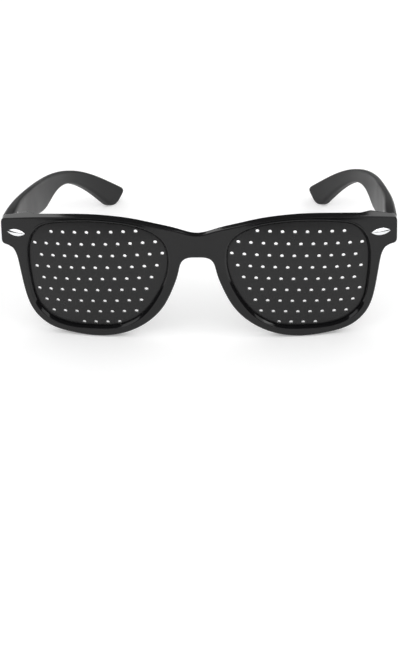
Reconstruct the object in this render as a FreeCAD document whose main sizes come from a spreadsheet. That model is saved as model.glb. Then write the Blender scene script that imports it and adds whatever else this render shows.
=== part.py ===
"""Pinhole glasses: a moulded front with two perforated plates and two folding temples.

The pieces are modelled square to the lens plane: X runs across the face, Y runs from the
front towards the ears and Z runs up in the lens plane. The finished set is then tilted so
that it stands on its rims and on the tips of its temples, as it does on a table.
"""
import FreeCAD, Part
import math
import os
import Sketcher
from FreeCAD import Placement, Rotation, Vector

doc = FreeCAD.newDocument("pinhole_glasses")
sheet = doc.addObject("Spreadsheet::Sheet", "Sizes")

# Driving dimensions in millimetres and degrees: name, value, meaning
DRIVING_SIZES = [
    ("lens_width", 53.3, "width of one eye opening at the front face"),
    ("lens_height", 43.56, "height of one eye opening at the front face"),
    ("bridge_width", 20.0, "least distance between the two eye openings"),
    ("opening_centre_height", -3.28, "centre of the opening from the middle row of holes"),
    ("rim_width", 3.2, "width of the lower rim seen from the front"),
    ("brow_width", 1.2, "width of the rim over the top of the lens"),
    ("endpiece_reach", 9.3, "from the eye opening to the outer side of the front"),
    ("endpiece_height", 9.4, "height of the outer side of the front"),
    ("endpiece_depth", 12.2, "plane where front and temple meet, behind the lens face"),
    ("endpiece_round", 1.2, "rounding of the upper and lower corners of the end piece"),
    ("endpiece_wall", 1.6, "how far the solid end piece reaches inward of the hinge"),
    ("bridge_height", 8.7, "height of the bridge at the middle of the nose"),
    ("bridge_top", 12.5, "top of the bridge above the middle row of holes"),
    ("bridge_depth", 3.4, "thickness of the bridge from front to back"),
    ("bridge_radius", 164.0, "vertical curve of the bridge facet"),
    ("lens_radius", 108.0, "radius of the spherical plate, front face"),
    ("wrap_angle", 5.5, "outward turn of each plate"),
    ("lens_thickness", 1.0, "thickness of the perforated plate"),
    ("rim_proud", 1.7, "how far the rim stands before the plate"),
    ("rim_backing", 2.4, "how far the rim reaches behind the plate face"),
    ("rim_bevel", 0.9, "bevel round the eye opening"),
    ("rim_round", 0.8, "rounding of the outer edges of the front"),
    ("groove_depth", 0.7, "how far the plate enters the rim"),
    ("groove_clearance", 0.05, "room round the plate in its groove"),
    ("hole_pitch", 4.5, "distance of the holes along a row"),
    ("row_pitch", 4.53, "distance of the rows"),
    ("hole_diameter", 1.35, "diameter of one pinhole"),
    ("row_slope", 2.3, "rise of the rows towards the nose, degrees"),
    ("pattern_shift", 0.71, "pattern centre outward from the opening centre"),
    ("nose_rest_height", 15.0, "length of the moulded nose rest"),
    ("nose_rest_depth", 4.0, "reach of the nose rest behind the rim"),
    ("nose_rest_width", 4.4, "thickness of the nose rest"),
    ("nose_rest_lean", 17.0, "lean of the nose rest towards the nose, degrees"),
    ("temple_tilt", 10.9, "downward tilt of the temples against the lens normal"),
    ("temple_length", 128.1, "from the joint to the tip, measured straight back"),
    ("temple_rise", 2.8, "top of the temple above the top of the end piece"),
    ("temple_drop", 14.1, "drop of the temple tip below the straight part"),
    ("temple_bow", 28.5, "inward bow of the temple tip"),
    ("temple_height", 12.3, "height of the temple in front of the ear"),
    ("temple_neck", 5.5, "least height of the temple over the ear"),
    ("tip_height", 10.0, "height of the rounded tip"),
    ("tip_angle", 35.0, "downward slope of the tip seen from the side"),
    ("tip_round_top", 2.2, "upper corner radius of the tip"),
    ("tip_round_bottom", 3.9, "lower corner radius of the tip"),
    ("temple_thickness", 3.2, "thickness of the temple behind the hinge"),
    ("hinge_end_thickness", 4.3, "thickness of the temple at the hinge"),
    ("temple_round", 1.1, "rounding of the long edges of the temple"),
    ("joint_gap", 0.3, "gap between front and temple when open"),
    ("hinge_inset", 6.8, "hinge axis inward from the outer side"),
    ("hinge_setback", 1.6, "hinge axis behind the joint plane"),
    ("barrel_radius", 1.3, "outer radius of the hinge barrels"),
    ("barrel_height", 2.0, "height of one hinge barrel"),
    ("barrel_gap", 0.1, "play between two barrels"),
    ("hinge_height", 11.5, "middle of the hinge above the middle row of holes"),
    ("leaf_thickness", 0.9, "thickness of the hinge leaves"),
    ("front_leaf_length", 3.6, "how deep the front leaf sits in the end piece"),
    ("temple_leaf_length", 9.0, "length of the leaf let into the temple"),
    ("screw_radius", 0.65, "radius of the hinge screw"),
    ("screw_clearance", 0.05, "room between screw and barrels"),
    ("screw_head_radius", 1.1, "radius of the screw head"),
    ("screw_head_height", 0.5, "height of the screw head"),
    ("plaque_length", 7.6, "length of the almond plaque"),
    ("plaque_height", 2.8, "height of the almond plaque"),
    ("plaque_thickness", 0.6, "thickness of the plaque"),
    ("plaque_proud", 0.35, "how far the plaque stands off the front"),
    ("plaque_inset", 5.9, "plaque centre inward from the outer side"),
    ("plaque_centre_height", 11.8, "plaque centre above the middle row of holes"),
    ("plaque_stud_radius", 0.5, "radius of the stud behind the plaque"),
    ("plaque_stud_length", 1.6, "length of the stud behind the plaque"),
    ("through_length", 50.0, "length of a cut or an outline that runs through a piece"),
]

# Eye opening seen from the front: shares of half its width and height, from its centre
OPENING_SHAPE = [
    (0.13, 1.0), (0.50, 0.963), (0.794, 0.858), (0.944, 0.646), (1.0, 0.242),
    (0.974, -0.217), (0.891, -0.630), (0.689, -0.882), (0.388, -0.988), (0.069, -1.0),
    (-0.287, -0.960), (-0.602, -0.740), (-0.827, -0.377), (-0.962, -0.010), (-1.0, 0.311),
    (-0.951, 0.591), (-0.812, 0.775), (-0.550, 0.917), (-0.212, 0.986),
]
# Lower edge of the rim, from the end piece to the bridge, in shares of opening plus rim
RIM_SHAPE = [
    (0.997, 0.151), (0.943, -0.269), (0.849, -0.629), (0.648, -0.866), (0.363, -0.962),
    (0.079, -0.998), (-0.240, -0.954), (-0.558, -0.777), (-0.799, -0.485), (-0.923, -0.189),
    (-0.997, 0.071),
]
# Brow line between bridge and end piece: shares of the half front and of opening plus brow
BROW_SHAPE = [
    (0.096, 0.756), (0.193, 0.839), (0.303, 0.926), (0.427, 0.983), (0.551, 1.0),
    (0.689, 0.978), (0.840, 0.930),
]
BROW_END_SHARE = 0.848
# Turn from the end piece down into the rim: steps outward and down in shares of the rim width
END_TURN_SHAPE = [(1.0, 0.08), (0.28, 0.25), (-0.17, 0.81)]
# Under the bridge, from the nose side inward: share of its width, drop in shares of its height
BRIDGE_SHAPE = [(0.26, 0.126), (0.14, 0.0115)]
# Nose rest from its lower to its upper end: share of its length and of its full section
NOSE_REST_SHAPE = [(-0.5, 0.22), (-0.3, 0.76), (0.0, 1.0), (0.3, 0.76), (0.5, 0.22)]
# Rows of holes from the top: row number, first and last place towards the nose, half pitches
HOLE_ROWS = [
    (-3, -7, 7), (-2, -10, 10), (-1, -9, 11), (0, -10, 10), (1, -9, 9), (2, -10, 8),
    (3, -9, 7), (4, -8, 6), (5, -3, 3),
]
# Temple top edge from the side: share of the length and of the drop
TEMPLE_TOP_SHAPE = [
    (-0.04, 0.25), (0.0, 0.193), (0.203, 0.053), (0.415, 0.0), (0.556, 0.005), (0.673, 0.013),
    (0.775, 0.102), (0.869, 0.369), (1.0, 1.0),
]
# Temple bottom edge: share of the length, drop there, and the height below the top edge
TEMPLE_BOTTOM_SHAPE = [
    (0.806, 0.150, "temple_neck", 1.208), (0.728, 0.05, "temple_neck", 1.0),
    (0.634, 0.01, "temple_neck", 1.46), (0.540, 0.0, "temple_height", 0.977),
    (0.415, 0.0, "temple_height", 0.997), (0.203, 0.053, "temple_height", 0.868),
    (0.0, 0.193, "temple_height", 0.758), (-0.04, 0.25, "temple_height", 0.712),
]
# Temple outer face from above: share of the length and of the inward bow
TEMPLE_BOW_SHAPE = [
    (-0.04, 0.0), (0.0, 0.0), (0.203, 0.007), (0.415, 0.064), (0.556, 0.113), (0.673, 0.213),
    (0.775, 0.381), (0.869, 0.604), (1.0, 1.0), (1.06, 1.21),
]
# Where the thick hinge end of the temple stops, and where the plain thickness begins
HINGE_END_SHARE = 0.11
PLAIN_TEMPLE_SHARE = 0.203
SIDES = {"right": 1, "left": -1}
# Two places this close together count as one
SAME_PLACE = 0.01
# How finely the lowest points are looked for when the glasses are set down
CONTACT_TOLERANCE = 0.1
CONTACT_STEPS = 6


def fill_sheet():
    """Write every driving dimension into the sheet with its alias."""
    for row, (name, value, meaning) in enumerate(DRIVING_SIZES, start=1):
        sheet.set("A%d" % row, name)
        sheet.set("B%d" % row, str(value))
        sheet.set("C%d" % row, meaning)
        sheet.setAlias("B%d" % row, name)
    doc.recompute()


def size(name):
    """Value of a driving dimension."""
    return float(sheet.get(name))


def bind(item, prop, formula):
    """Tie a property of an object to a formula with driving dimensions in brackets."""
    item.setExpression(prop, formula.replace("[", "Sizes.").replace("]", ""))


fill_sheet()

opening_half_width = size("lens_width") / 2
opening_half_height = size("lens_height") / 2
opening_x = size("bridge_width") / 2 + opening_half_width
opening_z = size("opening_centre_height")
half_front = size("bridge_width") / 2 + size("lens_width") + size("endpiece_reach")
pattern_x = opening_x + size("pattern_shift")
wrap = math.radians(size("wrap_angle"))
sphere_x = pattern_x - size("lens_radius") * math.sin(wrap)
sphere_y = size("lens_radius") * math.cos(wrap)
brow_half_height = opening_half_height + size("brow_width")
bridge_bottom = size("bridge_top") - size("bridge_height")
endpiece_top = opening_z + BROW_END_SHARE * brow_half_height
endpiece_bottom = endpiece_top - size("endpiece_height")
hinge_x = half_front - size("hinge_inset")
hinge_y = size("endpiece_depth") + size("hinge_setback")
tilt = math.radians(size("temple_tilt"))
temple_top = (size("endpiece_depth") * math.sin(tilt) + endpiece_top * math.cos(tilt)
              + size("temple_rise"))


def origin_plane(body, role):
    """One of the three origin planes of a body."""
    return [item for item in body.Origin.OriginFeatures if item.Role == role][0]


def spline(points, closed=False):
    """Smooth curve through the points."""
    curve = Part.BSplineCurve()
    curve.interpolate(Points=points, PeriodicFlag=closed)
    return curve


def outline_pad(name, role, curves, length, symmetric=True, offset=0.0):
    """Body with one sketch of joined curves on an origin plane, padded to a length."""
    body = doc.addObject("PartDesign::Body", name + "_body")
    sketch = body.newObject("Sketcher::SketchObject", name + "_sketch")
    sketch.AttachmentSupport = (origin_plane(body, role), [""])
    sketch.MapMode = "FlatFace"
    sketch.AttachmentOffset = Placement(Vector(0, 0, offset), Rotation())
    sketch.addGeometry(curves, False)
    pad = body.newObject("PartDesign::Pad", name + "_pad")
    pad.Profile = sketch
    pad.Midplane = symmetric
    bind(pad, "Length", length)
    doc.recompute()
    return body


def boolean(kind, name, base, tool):
    """Boolean of two objects: Cut, Common or Fuse."""
    result = doc.addObject("Part::" + kind, name)
    result.Base = base
    result.Tool = tool
    doc.recompute()
    return result


def fuse_all(name, items):
    """Union of several objects."""
    result = doc.addObject("Part::MultiFuse", name)
    result.Shapes = items
    doc.recompute()
    return result


def side_box(name, sign, low, lengths):
    """Box from its low corner on the right side and three formulas, on either side."""
    item = doc.addObject("Part::Box", name)
    for prop, formula in zip(("Length", "Width", "Height"), lengths):
        bind(item, prop, formula)
    doc.recompute()
    x = low[0] if sign > 0 else -low[0] - item.Length.Value
    item.Placement.Base = Vector(x, low[1], low[2])
    return item


def upright_cylinder(name, radius, height, centre):
    """Cylinder along Z standing on a centre point."""
    item = doc.addObject("Part::Cylinder", name)
    bind(item, "Radius", radius)
    bind(item, "Height", height)
    item.Placement.Base = Vector(*centre)
    return item


def ball(name, sign, radius):
    """Sphere about the centre of curvature of one plate."""
    item = doc.addObject("Part::Sphere", name)
    bind(item, "Radius", radius)
    item.Placement.Base = Vector(sign * sphere_x, sphere_y, 0)
    return item


def face_y(x, z, standoff):
    """Depth of the spherical front face at a place, standing before the plate face."""
    radius = size("lens_radius") + standoff
    return sphere_y - math.sqrt(radius ** 2 - (abs(x) - sphere_x) ** 2 - z ** 2)


def opening_points(sign, growth):
    """Points of an eye opening outline, grown outward by a distance."""
    half_x = opening_half_width + growth
    half_z = opening_half_height + growth
    return [Vector(sign * (opening_x + u * half_x), opening_z + v * half_z, 0)
            for u, v in OPENING_SHAPE]


def opening_body(name, sign, growth):
    """Prism of the eye opening through the whole front."""
    curve = spline(opening_points(sign, growth), closed=True)
    return outline_pad(name, "XZ_Plane", [curve], "[through_length]")


def half_brow(sign):
    """Brow line of one side, from the bridge to the outer corner."""
    points = [Vector(sign * u * half_front, opening_z + v * brow_half_height, 0)
              for u, v in BROW_SHAPE]
    return points + [Vector(sign * half_front, endpiece_top, 0)]


def half_rim(sign):
    """Lower edge of one side, from the end piece to the nose."""
    half_x = opening_half_width + size("rim_width")
    half_z = opening_half_height + size("rim_width")
    return [Vector(sign * (opening_x + u * half_x), opening_z + v * half_z, 0)
            for u, v in RIM_SHAPE]


def end_turn(sign):
    """Under side of the end piece where it turns down into the rim."""
    middle_x = half_front - size("endpiece_reach") / 2
    return [Vector(sign * (middle_x + out * size("rim_width")),
                   endpiece_bottom - drop * size("rim_width"), 0)
            for out, drop in END_TURN_SHAPE]


def bridge_underside(sign):
    """Lower edge between the nose side of the rim and the middle of the bridge."""
    return [Vector(sign * share * size("bridge_width"),
                   bridge_bottom - drop * size("bridge_height"), 0)
            for share, drop in BRIDGE_SHAPE]


def front_outline():
    """Outer outline of the front as joined curves: brow line, sides and lower edge."""
    brow = half_brow(-1)[::-1] + [Vector(0, size("bridge_top"), 0)] + half_brow(1)
    curves = [spline(brow)]
    lower = {}
    for sign in (1, -1):
        corner_high = Vector(sign * half_front, endpiece_top, 0)
        corner_low = Vector(sign * half_front, endpiece_bottom, 0)
        lower[sign] = [corner_low] + end_turn(sign) + half_rim(sign) + bridge_underside(sign)
        curves.append(Part.LineSegment(corner_high, corner_low))
    curves.append(spline(lower[1] + [Vector(0, bridge_bottom, 0)] + lower[-1][::-1]))
    return curves


def plan_prism(name, corners, height, base_z):
    """Upright prism over a polygon seen from above."""
    curves = [Part.LineSegment(start, end)
              for start, end in zip(corners, corners[1:] + corners[:1])]
    return outline_pad(name, "XY_Plane", curves, height, symmetric=False, offset=base_z)


def end_block(name, sign):
    """Region behind the brow in which the end piece stays solid, with a slanted inner wall."""
    wall_x = hinge_x - size("barrel_radius") - size("endpiece_wall")
    depth = size("endpiece_depth")
    slant = depth / 2
    back = 2 * depth
    outside = half_front + depth
    corners = [Vector(sign * x, y, 0) for x, y in (
        (wall_x - slant, depth - slant), (wall_x, depth), (wall_x, back), (outside, back),
        (outside, 0), (wall_x - slant, 0))]
    return plan_prism(name, corners, "[through_length]", endpiece_bottom)


def bridge_barrel(name, depth, half_width):
    """Flat drum across the nose whose face starts at a depth, with the bridge's curve."""
    item = doc.addObject("Part::Cylinder", name)
    bind(item, "Radius", "[bridge_radius]")
    item.Height = 2 * half_width
    item.Placement = Placement(Vector(-half_width, depth + size("bridge_radius"), 0),
                               Rotation(Vector(0, 1, 0), 90))
    return item


def round_edges(name, base, radius, wanted):
    """Round the edges that a test picks."""
    result = doc.addObject("Part::Fillet", name)
    result.Base = base
    picked = [i + 1 for i, edge in enumerate(base.Shape.Edges) if wanted(edge)]
    result.Edges = [(index, radius, radius) for index in picked]
    doc.recompute()
    return result


def edge_middle(edge):
    """Point half way along an edge."""
    return edge.valueAt((edge.FirstParameter + edge.LastParameter) / 2)


def is_end_corner(edge):
    """True for the four corners of the end pieces that run from front to back."""
    middle = edge_middle(edge)
    away = min(abs(middle.z - endpiece_top), abs(middle.z - endpiece_bottom))
    return abs(abs(middle.x) - half_front) < SAME_PLACE and away < SAME_PLACE


def is_front_edge(edge):
    """True for the outer edges of the front face, not for the creases beside the bridge."""
    middle = edge_middle(edge)
    margin = size("rim_round")
    on_crease = (abs(middle.x) < size("bridge_width") / 2
                 and bridge_bottom + margin < middle.z < size("bridge_top") - margin)
    in_front = middle.y < face_y(middle.x, middle.z, size("rim_proud") / 2)
    return in_front and not on_crease


def rim_shell():
    """Curved shell of the front, without openings: outline, front faces and hollow back."""
    outline = outline_pad("front_outline", "XZ_Plane", front_outline(), "[through_length]",
                          symmetric=False, offset=-size("endpiece_depth"))
    outline = round_edges("rounded_outline", outline, size("endpiece_round"), is_end_corner)
    facet_x = size("bridge_width") / 2
    facet_depth = face_y(facet_x / 2, size("bridge_top") / 3, size("rim_proud"))
    fronts = [ball("front_ball_" + side, sign, "[lens_radius] + [rim_proud]")
              for side, sign in SIDES.items()]
    fronts.append(bridge_barrel("bridge_facet", facet_depth, facet_x))
    faced = boolean("Common", "faced_front", outline, fuse_all("front_faces", fronts))
    rounded = round_edges("rounded_front", faced, size("rim_round"), is_front_edge)
    backs = [ball("back_ball_" + side, sign, "[lens_radius] - [rim_backing]")
             for side, sign in SIDES.items()]
    backs.append(bridge_barrel("bridge_back", facet_depth + size("bridge_depth"),
                               facet_x + size("rim_width")))
    hollow = fuse_all("back_faces", backs)
    for side, sign in SIDES.items():
        hollow = boolean("Cut", "hollow_" + side, hollow, end_block("end_block_" + side, sign))
    return boolean("Cut", "rim_shell", rounded, hollow)


def nose_rest(name, sign):
    """Moulded nose rest: a long swelling behind the nose side of the rim, thick in the middle."""
    lean = Rotation(Vector(0, 1, 0), -sign * size("nose_rest_lean"))
    x = size("bridge_width") / 2
    centre = Vector(sign * x, face_y(x, opening_z, -size("rim_backing")), opening_z)
    sections = []
    for index, (along, share) in enumerate(NOSE_REST_SHAPE):
        section = doc.addObject("Part::Ellipse", "%s_section_%d" % (name, index))
        bind(section, "MajorRadius", "%g * [nose_rest_depth]" % share)
        bind(section, "MinorRadius", "%g * [nose_rest_width] / 2" % share)
        place = centre + lean.multVec(Vector(0, 0, along * size("nose_rest_height")))
        section.Placement = Placement(place, lean.multiply(Rotation(Vector(0, 0, 1), 90)))
        sections.append(section)
    rest = doc.addObject("Part::Loft", name)
    rest.Sections = sections
    rest.Solid = True
    doc.recompute()
    return rest


def plate_blank(name, sign, room):
    """Spherical plate that fills one opening and enters the rim; room 1 makes its groove."""
    inset = size("rim_bevel") - size("groove_depth") - room * size("groove_clearance")
    outline = opening_body(name + "_outline", sign, -inset)
    outer = ball(name + "_outer", sign, "[lens_radius] + %d * [groove_clearance]" % room)
    inner = ball(name + "_inner", sign,
                 "[lens_radius] - [lens_thickness] - %d * [groove_clearance]" % room)
    skin = boolean("Cut", name + "_skin", outer, inner)
    return boolean("Common", name, outline, skin)


def hole_centre(sign, row, place):
    """Place of one pinhole seen from the front; places count half pitches to the nose."""
    slope = math.radians(size("row_slope"))
    out = -place * size("hole_pitch") / 2
    up = -row * size("row_pitch")
    across = out * math.cos(slope) + up * math.sin(slope)
    height = up * math.cos(slope) - out * math.sin(slope)
    sag = (across ** 2 + height ** 2) / (2 * size("lens_radius"))
    x = pattern_x + across * math.cos(wrap) - sag * math.sin(wrap)
    return Vector(sign * x, height, 0)


def pinhole_lens(side, sign):
    """Perforated plate with its staggered rows of pinholes."""
    blank = plate_blank(side + "_plate", sign, 0)
    circles = []
    for row, first, last in HOLE_ROWS:
        for place in range(first, last + 1, 2):
            centre = hole_centre(sign, row, place)
            circles.append(Part.Circle(centre, Vector(0, 0, 1), size("hole_diameter") / 2))
    drills = outline_pad(side + "_drills", "XZ_Plane", circles, "[through_length]")
    return boolean("Cut", side + "_lens", blank, drills)


def bevel_openings(base):
    """Bevel round both eye openings on the front face."""
    result = doc.addObject("Part::Chamfer", "bevelled_front")
    result.Base = base
    picked = []
    for index, edge in enumerate(base.Shape.Edges, start=1):
        middle = edge_middle(edge)
        beside = abs(abs(middle.x) - opening_x) < opening_half_width
        level = abs(middle.z - opening_z) < opening_half_height
        in_front = middle.y < face_y(middle.x, middle.z, size("rim_proud") / 2)
        if beside and level and in_front and edge.Length > size("lens_height"):
            picked.append(index)
    result.Edges = [(index, size("rim_bevel"), size("rim_bevel")) for index in picked]
    doc.recompute()
    return result


def temple_place(share):
    """Distance behind the lens face, level with the temple, of a share of its length."""
    start = (size("endpiece_depth") * math.cos(tilt) - endpiece_top * math.sin(tilt))
    return start + share * size("temple_length")


def temple_profile():
    """Side view of a temple in its own level frame, as curves in depth and height."""
    top_edge = [Vector(temple_place(share), temple_top - drop * size("temple_drop"), 0)
                for share, drop in TEMPLE_TOP_SHAPE]
    slope = math.radians(size("tip_angle"))
    tip_low = top_edge[-1] - Vector(math.sin(slope), math.cos(slope), 0) * size("tip_height")
    bottom_edge = [tip_low] + [
        Vector(temple_place(share),
               temple_top - drop * size("temple_drop") - factor * size(height), 0)
        for share, drop, height, factor in TEMPLE_BOTTOM_SHAPE]
    return [spline(top_edge), Part.LineSegment(top_edge[-1], tip_low), spline(bottom_edge),
            Part.LineSegment(bottom_edge[-1], top_edge[0])]


def mirrored(points, sign):
    """Points of the right side, or their mirror image for the left side."""
    return [Vector(sign * point.x, point.y, point.z) for point in points]


def temple_plan(sign):
    """Temple seen from above: outer face, tip end, thin part and thick hinge end."""
    outer = [Vector(half_front - bow * size("temple_bow"), temple_place(share), 0)
             for share, bow in TEMPLE_BOW_SHAPE]
    curve = spline(outer)
    inner = []
    for (share, bow), point in zip(TEMPLE_BOW_SHAPE, outer):
        if share >= PLAIN_TEMPLE_SHARE:
            along = curve.tangent(curve.parameter(point))[0]
            inner.append(point - Vector(size("temple_thickness") / abs(along.y), 0, 0))
    thick_x = half_front - size("hinge_end_thickness")
    inner = [Vector(thick_x, temple_place(HINGE_END_SHARE), 0)] + inner
    front_corner = Vector(thick_x, outer[0].y, 0)
    corners = [[outer[-1], inner[-1]], [inner[0], front_corner], [front_corner, outer[0]]]
    curves = [spline(mirrored(outer, sign)), spline(mirrored(inner, sign))]
    return curves + [Part.LineSegment(*mirrored(corner, sign)) for corner in corners]


def temple_blank(side, sign):
    """Temple as the part common to its side view and its plan, with a rounded tip."""
    side_curves = temple_profile()
    rounded = outline_pad(side + "_temple_profile", "YZ_Plane", side_curves,
                          "4 * [lens_width]")
    tip_line = side_curves[1]
    corners = ((size("tip_round_top"), tip_line.StartPoint),
               (size("tip_round_bottom"), tip_line.EndPoint))
    for radius, place in corners:
        rounded = round_edges(
            side + "_tip_round", rounded, radius,
            lambda edge: abs(edge_middle(edge).y - place.x) < SAME_PLACE)
    plan = outline_pad(side + "_temple_plan", "XY_Plane", temple_plan(sign),
                       "2 * [through_length]")
    blank = boolean("Common", side + "_temple_blank", rounded, plan)
    front_end = temple_place(TEMPLE_TOP_SHAPE[0][0])
    return round_edges(side + "_temple_rounded", blank, size("temple_round"),
                       lambda edge: edge_middle(edge).y > front_end + SAME_PLACE)


def hinge_levels():
    """Bottoms of the three barrels, from the lowest to the highest."""
    step = size("barrel_height") + size("barrel_gap")
    lowest = size("hinge_height") - step - size("barrel_height") / 2
    return [lowest + index * step for index in range(3)]


def leaf_box(name, sign, piece, room):
    """Leaf of a hinge without its barrels; room 1 makes the pocket that it sits in."""
    growth = room * size("groove_clearance")
    lengths = ["[leaf_thickness]", "[front_leaf_length]", "3 * [barrel_height] + 2 * [barrel_gap]"]
    low = [hinge_x - size("leaf_thickness") / 2,
           size("endpiece_depth") - size("front_leaf_length"), hinge_levels()[0]]
    if piece == "temple":
        lengths[1] = "[temple_leaf_length]"
        lengths[2] = "2.5 * [barrel_height] + 2 * [barrel_gap]"
        low[0] = half_front - size("hinge_end_thickness")
        low[1] = size("endpiece_depth") + 2 * size("joint_gap")
        low[2] += size("barrel_height") / 4
    return side_box(name, sign, [value - growth for value in low],
                    [formula + " + 2 * %d * [groove_clearance]" % room for formula in lengths])


def barrel_arm(name, sign, piece, level):
    """Barrel and the arm that joins it to its leaf."""
    centre = (sign * hinge_x, hinge_y, level)
    barrel = upright_cylinder(name + "_barrel", "[barrel_radius]", "[barrel_height]", centre)
    half_arm = size("leaf_thickness") / 2
    if piece == "front":
        low = (hinge_x - half_arm, size("endpiece_depth"), level)
        lengths = ("[leaf_thickness]", "[hinge_setback]", "[barrel_height]")
    else:
        low = (hinge_x, hinge_y - half_arm, level)
        lengths = ("[hinge_inset] - [hinge_end_thickness]", "[leaf_thickness]",
                   "[barrel_height]")
    return [barrel, side_box(name + "_arm", sign, low, lengths)]


def hinge_leaf(side, sign, piece):
    """Hinge leaf with its barrels, bored for the screw."""
    name = "%s_%s_leaf" % (side, piece)
    levels = hinge_levels()
    chosen = [levels[0], levels[2]] if piece == "front" else [levels[1]]
    parts = [leaf_box(name + "_plate", sign, piece, 0)]
    for index, level in enumerate(chosen):
        parts += barrel_arm("%s_%d" % (name, index), sign, piece, level)
    solid = fuse_all(name + "_solid", parts)
    bore = upright_cylinder(name + "_bore", "[screw_radius] + [screw_clearance]",
                            "[through_length]",
                            (sign * hinge_x, hinge_y, levels[0] - size("barrel_height")))
    return boolean("Cut", name, solid, bore)


def hinge_screw(side, sign):
    """Slotted screw through the three barrels, with its head on the top barrel."""
    name = side + "_screw"
    bottom = hinge_levels()[0]
    top = hinge_levels()[2] + size("barrel_height")
    shank = upright_cylinder(name + "_shank", "[screw_radius]",
                             "3 * [barrel_height] + 2 * [barrel_gap]",
                             (sign * hinge_x, hinge_y, bottom))
    head = upright_cylinder(name + "_head", "[screw_head_radius]", "[screw_head_height]",
                            (sign * hinge_x, hinge_y, top))
    solid = fuse_all(name + "_solid", [shank, head])
    low = (hinge_x - size("screw_head_radius"), hinge_y - size("screw_radius") / 4,
           top + size("screw_head_height") / 2)
    slot = side_box(name + "_slot", sign, low,
                    ("2 * [screw_head_radius]", "[screw_radius] / 2", "[screw_head_height]"))
    return boolean("Cut", name, solid, slot)


def plaque_frame(sign):
    """Placement on the end piece whose Z axis leaves the front square to its surface."""
    x = half_front - size("plaque_inset")
    z = size("plaque_centre_height")
    y = face_y(x, z, size("rim_proud"))
    outward = Vector(sign * (x - sphere_x), y - sphere_y, z).normalize()
    along = outward.cross(Vector(0, 0, 1)).normalize()
    rotation = Rotation(along, outward.cross(along), outward, "ZXY")
    return Placement(Vector(sign * x, y, z), rotation)


def almond(name, sign, foot, height, room):
    """Almond prism of two arcs, standing at a foot height over the end piece."""
    half = size("plaque_length") / 2
    rise = size("plaque_height") / 2
    radius = (half ** 2 + rise ** 2) / (2 * rise)
    halves = []
    for index, shift in enumerate((radius - rise, rise - radius)):
        drum = doc.addObject("Part::Cylinder", "%s_arc_%d" % (name, index))
        bind(drum, "Radius", "([plaque_length] ^ 2 + [plaque_height] ^ 2)"
             " / (4 * [plaque_height]) + %d * [groove_clearance]" % room)
        bind(drum, "Height", height)
        drum.Placement = plaque_frame(sign).multiply(
            Placement(Vector(0, shift, foot), Rotation()))
        halves.append(drum)
    return boolean("Common", name, *halves)


def stud_cylinder(name, sign, room):
    """Stud behind a plaque; room 1 makes its hole."""
    clearance = room * size("groove_clearance")
    foot = (size("plaque_proud") - size("plaque_thickness") - size("plaque_stud_length")
            - clearance)
    stud = doc.addObject("Part::Cylinder", name)
    bind(stud, "Radius", "[plaque_stud_radius] + %d * [groove_clearance]" % room)
    bind(stud, "Height", "[plaque_stud_length] + %d * [groove_clearance]" % room)
    stud.Placement = plaque_frame(sign).multiply(Placement(Vector(0, 0, foot), Rotation()))
    return stud


def plaque(side, sign):
    """Bright almond plaque with a stud that holds it in the end piece."""
    name = side + "_almond"
    sunk = size("plaque_proud") - size("plaque_thickness")
    face = almond(name + "_face", sign, sunk, "[plaque_thickness]", 0)
    return fuse_all(name, [face, stud_cylinder(name + "_stud", sign, 0)])


def front_frame():
    """Moulded front: rims, bridge, nose rests and end pieces, open for the plates."""
    rests = [nose_rest("nose_rest_" + side, sign) for side, sign in SIDES.items()]
    front = fuse_all("front_with_rests", [rim_shell()] + rests)
    for side, sign in SIDES.items():
        opening = opening_body("opening_" + side, sign, -size("rim_bevel"))
        front = boolean("Cut", "opened_" + side, front, opening)
    front = bevel_openings(front)
    recess_foot = size("plaque_proud") - size("plaque_thickness") - size("groove_clearance")
    for side, sign in SIDES.items():
        tools = [plate_blank("groove_" + side, sign, 1),
                 leaf_box("leaf_slot_" + side, sign, "front", 1),
                 almond("recess_" + side, sign, recess_foot, "2 * [plaque_thickness]", 1),
                 stud_cylinder("stud_hole_" + side, sign, 1)]
        for index, tool in enumerate(tools):
            front = boolean("Cut", "front_%s_%d" % (side, index), front, tool)
    return front


def temple(side, sign):
    """Folding temple: level blank tilted down, cut off at the joint and let in for the leaf."""
    blank = temple_blank(side, sign)
    blank.Placement = Placement(Vector(), Rotation(Vector(-1, 0, 0), size("temple_tilt")))
    joint_y = size("endpiece_depth") + size("joint_gap")
    reach = size("through_length")
    ahead = side_box(side + "_joint_cut", sign, (half_front - reach, joint_y - reach, -reach),
                     ("2 * [through_length]", "[through_length]", "2 * [through_length]"))
    body = boolean("Cut", side + "_temple_cut", blank, ahead)
    pocket = leaf_box(side + "_leaf_pocket", sign, "temple", 1)
    return boolean("Cut", side + "_temple", body, pocket)


def turned(points, angle):
    """Side view points after a turn about the X axis."""
    cosine, sine = math.cos(angle), math.sin(angle)
    return [(y * cosine - z * sine, y * sine + z * cosine) for y, z in points]


def lowest(points):
    """Depth and height of the lowest point."""
    return min(points, key=lambda point: point[1])


def standing_placement(front, arm):
    """Placement that stands the open glasses on their rims and temple tips, centred."""
    front_points = [(point.y, point.z) for point in front.Shape.tessellate(CONTACT_TOLERANCE)[0]]
    arm_points = [(point.y, point.z) for point in arm.Shape.tessellate(CONTACT_TOLERANCE)[0]]
    angle = 0.0
    for _ in range(CONTACT_STEPS):
        rim_y, rim_z = lowest(turned(front_points, angle))
        tip_y, tip_z = lowest(turned(arm_points, angle))
        angle -= math.atan2(tip_z - rim_z, tip_y - rim_y)
    placed = turned(front_points + arm_points, angle)
    depths = [y for y, z in placed]
    shift = Vector(0, -(min(depths) + max(depths)) / 2, -lowest(placed)[1])
    return Placement(shift, Rotation(Vector(1, 0, 0), math.degrees(angle)))


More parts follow.
